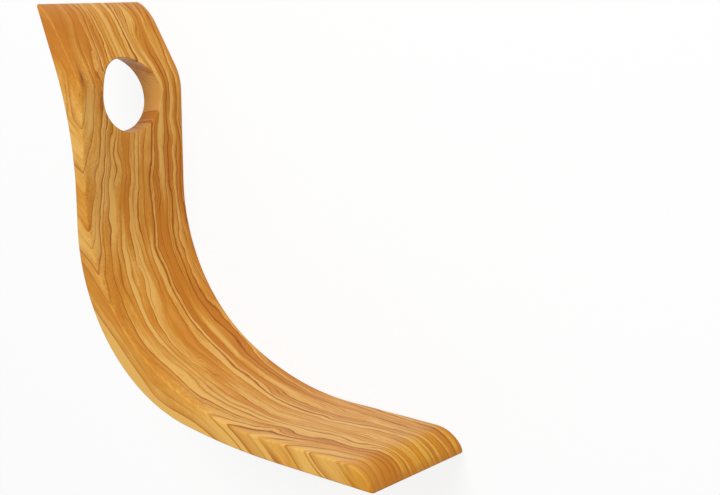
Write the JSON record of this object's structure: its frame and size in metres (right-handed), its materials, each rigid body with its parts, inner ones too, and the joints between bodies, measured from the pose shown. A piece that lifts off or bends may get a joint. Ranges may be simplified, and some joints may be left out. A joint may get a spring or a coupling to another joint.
{
  "type": "balancing bottle holder",
  "caption": "One-piece curved wooden bottle stand with a flat foot, a swept bend and a round neck bore below its crest; it balances a level bottle and lies on its side when empty.",
  "frame": {"origin": "centre of the bottom of the bounding box, on the surface that the piece lies on", "axes": "+X from the upright towards the toe, along the neck bore; +Y from the sole up to the crest, which is up in use; +Z across the board, up as the empty piece lies on its side"},
  "size_m": [0.1889, 0.1758, 0.058],
  "materials": {
    "olive_wood": "sanded and oiled, satin, with dark streaked grain"
  },
  "bodies": {
    "root": {"bottle_holder": "olive_wood"}
  },
  "joints": []
}
